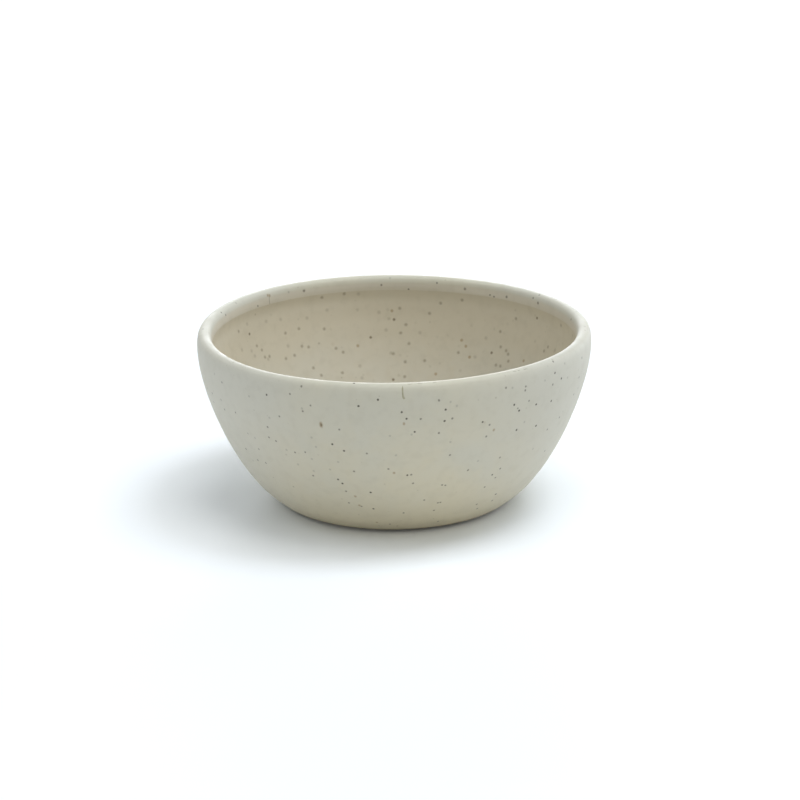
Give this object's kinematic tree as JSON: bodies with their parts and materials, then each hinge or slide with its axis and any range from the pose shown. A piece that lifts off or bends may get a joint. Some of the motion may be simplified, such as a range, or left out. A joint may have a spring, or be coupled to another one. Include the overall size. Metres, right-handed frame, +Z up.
{
  "type": "snack bowl",
  "caption": "Small round stoneware bowl with a speckled satin glaze, a soft rounded lip and a low turned foot ring, for holding snacks.",
  "frame": {"origin": "centre of the foot ring's resting face, on the table", "axes": "+Z up along the bowl's axis of revolution; -Y is the side that faces the camera in the picture"},
  "size_m": [0.12, 0.12, 0.0537],
  "materials": {
    "bare_clay": "unglazed buff stoneware with dark iron specks",
    "liner_glaze": "satin, warm off-white with brown iron specks",
    "outer_glaze": "satin, off-white with dark iron specks"
  },
  "bodies": {
    "root": {"clay_body": "bare_clay", "liner_glaze": "liner_glaze", "outer_glaze": "outer_glaze"}
  },
  "joints": []
}
